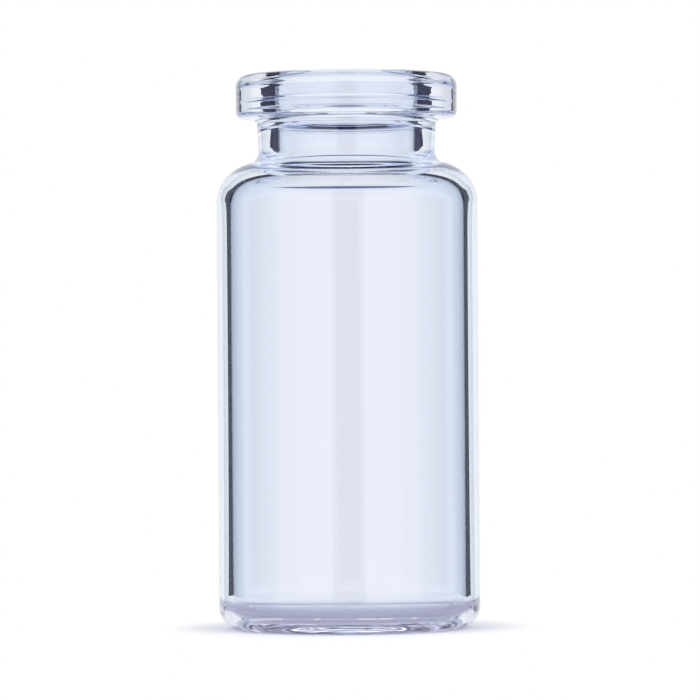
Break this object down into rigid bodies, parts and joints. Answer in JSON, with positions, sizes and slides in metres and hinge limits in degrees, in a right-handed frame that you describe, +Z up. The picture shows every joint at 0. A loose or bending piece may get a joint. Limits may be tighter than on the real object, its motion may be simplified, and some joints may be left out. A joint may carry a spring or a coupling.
{
  "type": "glass sample vial",
  "caption": "Small clear glass vial with a straight round body, rounded shoulder, short neck and a thick rolled flange that takes a rubber stopper and a crimped cap.",
  "frame": {"origin": "centre of the ring that the vial stands on", "axes": "+Z up, along the vial's axis from the bottom to the mouth"},
  "size_m": [0.0236, 0.0236, 0.05],
  "materials": {
    "glass": "clear, polished, with a faint blue tint"
  },
  "bodies": {
    "root": {"vial": "glass"}
  },
  "joints": []
}
